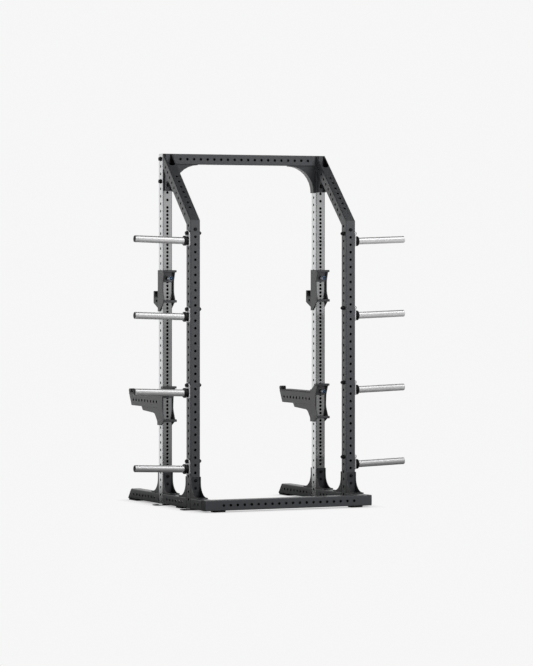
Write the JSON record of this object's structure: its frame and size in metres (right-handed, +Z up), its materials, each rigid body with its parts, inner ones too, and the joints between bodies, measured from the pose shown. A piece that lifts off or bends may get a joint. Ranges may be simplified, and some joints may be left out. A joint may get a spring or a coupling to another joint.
{
  "type": "power rack",
  "caption": "Half rack for barbell training with sliding J-cups and spotter arms held by pull pins, weight storage pegs and a braced floor frame.",
  "frame": {"origin": "on the floor, at the centre of the rack's outline seen from above", "axes": "+Z up, -Y towards the user's side, where the J-cups and spotter arms point, +X to the right of a user who faces the rack"},
  "size_m": [1.98, 1.304, 2.355],
  "materials": {
    "charcoal_paint": "fine textured powder coat, satin",
    "stainless": "brushed lengthwise",
    "black_paint": "fine textured powder coat, satin",
    "sleeve_chrome": "satin chrome, turned",
    "bracket_silver": "satin silver",
    "black_plastic": "matte, faint machining marks",
    "rubber": "matte",
    "knob_aluminium": "turned aluminium with a blue anodised ring"
  },
  "bodies": {
    "root": {"front_upright_left": "stainless", "rear_upright_left": "charcoal_paint", "slant_brace_left": "charcoal_paint", "slant_bracket_left": "charcoal_paint", "top_gusset_left": "charcoal_paint", "front_rail_left": "charcoal_paint", "middle_rail_left": "charcoal_paint", "rear_rail_left": "charcoal_paint", "front_foot_left": "rubber", "rear_foot_left": "rubber", "foot_bracket_front_a_left": "charcoal_paint", "foot_bracket_front_b_left": "charcoal_paint", "foot_bracket_rear_a_left": "charcoal_paint", "foot_bracket_rear_b_left": "charcoal_paint", "peg_bracket_left_1": "bracket_silver", "peg_sleeve_left_1": "sleeve_chrome", "peg_bracket_left_2": "bracket_silver", "peg_sleeve_left_2": "sleeve_chrome", "peg_bracket_left_3": "bracket_silver", "peg_sleeve_left_3": "sleeve_chrome", "peg_bracket_left_4": "bracket_silver", "peg_sleeve_left_4": "sleeve_chrome", "front_upright_right": "stainless", "rear_upright_right": "charcoal_paint", "slant_brace_right": "charcoal_paint", "slant_bracket_right": "charcoal_paint", "top_gusset_right": "charcoal_paint", "front_rail_right": "charcoal_paint", "middle_rail_right": "charcoal_paint", "rear_rail_right": "charcoal_paint", "front_foot_right": "rubber", "rear_foot_right": "rubber", "foot_bracket_front_a_right": "charcoal_paint", "foot_bracket_front_b_right": "charcoal_paint", "foot_bracket_rear_a_right": "charcoal_paint", "foot_bracket_rear_b_right": "charcoal_paint", "peg_bracket_right_1": "bracket_silver", "peg_sleeve_right_1": "sleeve_chrome", "peg_bracket_right_2": "bracket_silver", "peg_sleeve_right_2": "sleeve_chrome", "peg_bracket_right_3": "bracket_silver", "peg_sleeve_right_3": "sleeve_chrome", "peg_bracket_right_4": "bracket_silver", "peg_sleeve_right_4": "sleeve_chrome", "top_crossbar": "charcoal_paint", "rear_crossmember": "charcoal_paint"},
    "jcup_left": {"jcup_carriage_left": "black_paint", "jcup_liner_left": "black_plastic"},
    "jcup_pin_left": {"jcup_pin_left": "knob_aluminium"},
    "spotter_left": {"spotter_carriage_left": "black_paint", "spotter_liner_left": "black_plastic", "spotter_stop_left": "black_plastic"},
    "spotter_pin_left": {"spotter_pin_left": "knob_aluminium"},
    "jcup_right": {"jcup_carriage_right": "black_paint", "jcup_liner_right": "black_plastic"},
    "jcup_pin_right": {"jcup_pin_right": "knob_aluminium"},
    "spotter_right": {"spotter_carriage_right": "black_paint", "spotter_liner_right": "black_plastic", "spotter_stop_right": "black_plastic"},
    "spotter_pin_right": {"spotter_pin_right": "knob_aluminium"}
  },
  "joints": [
    {"name": "jcup_height_left", "type": "slide", "parent": "root", "child": "jcup_left", "axis": [0, 0, 1], "range_m": [-0.45, 0.45]},
    {"name": "jcup_pull_left", "type": "slide", "parent": "jcup_left", "child": "jcup_pin_left", "axis": [0, 1, 0], "range_m": [0, 0.014], "stiffness_N_per_m": 1500, "springref_m": -0.004},
    {"name": "spotter_height_left", "type": "slide", "parent": "root", "child": "spotter_left", "axis": [0, 0, 1], "range_m": [-0.3, 0.45]},
    {"name": "spotter_pull_left", "type": "slide", "parent": "spotter_left", "child": "spotter_pin_left", "axis": [0, 1, 0], "range_m": [0, 0.014], "stiffness_N_per_m": 1500, "springref_m": -0.004},
    {"name": "jcup_height_right", "type": "slide", "parent": "root", "child": "jcup_right", "axis": [0, 0, 1], "range_m": [-0.45, 0.45]},
    {"name": "jcup_pull_right", "type": "slide", "parent": "jcup_right", "child": "jcup_pin_right", "axis": [0, 1, 0], "range_m": [0, 0.014], "stiffness_N_per_m": 1500, "springref_m": -0.004},
    {"name": "spotter_height_right", "type": "slide", "parent": "root", "child": "spotter_right", "axis": [0, 0, 1], "range_m": [-0.3, 0.45]},
    {"name": "spotter_pull_right", "type": "slide", "parent": "spotter_right", "child": "spotter_pin_right", "axis": [0, 1, 0], "range_m": [0, 0.014], "stiffness_N_per_m": 1500, "springref_m": -0.004}
  ]
}
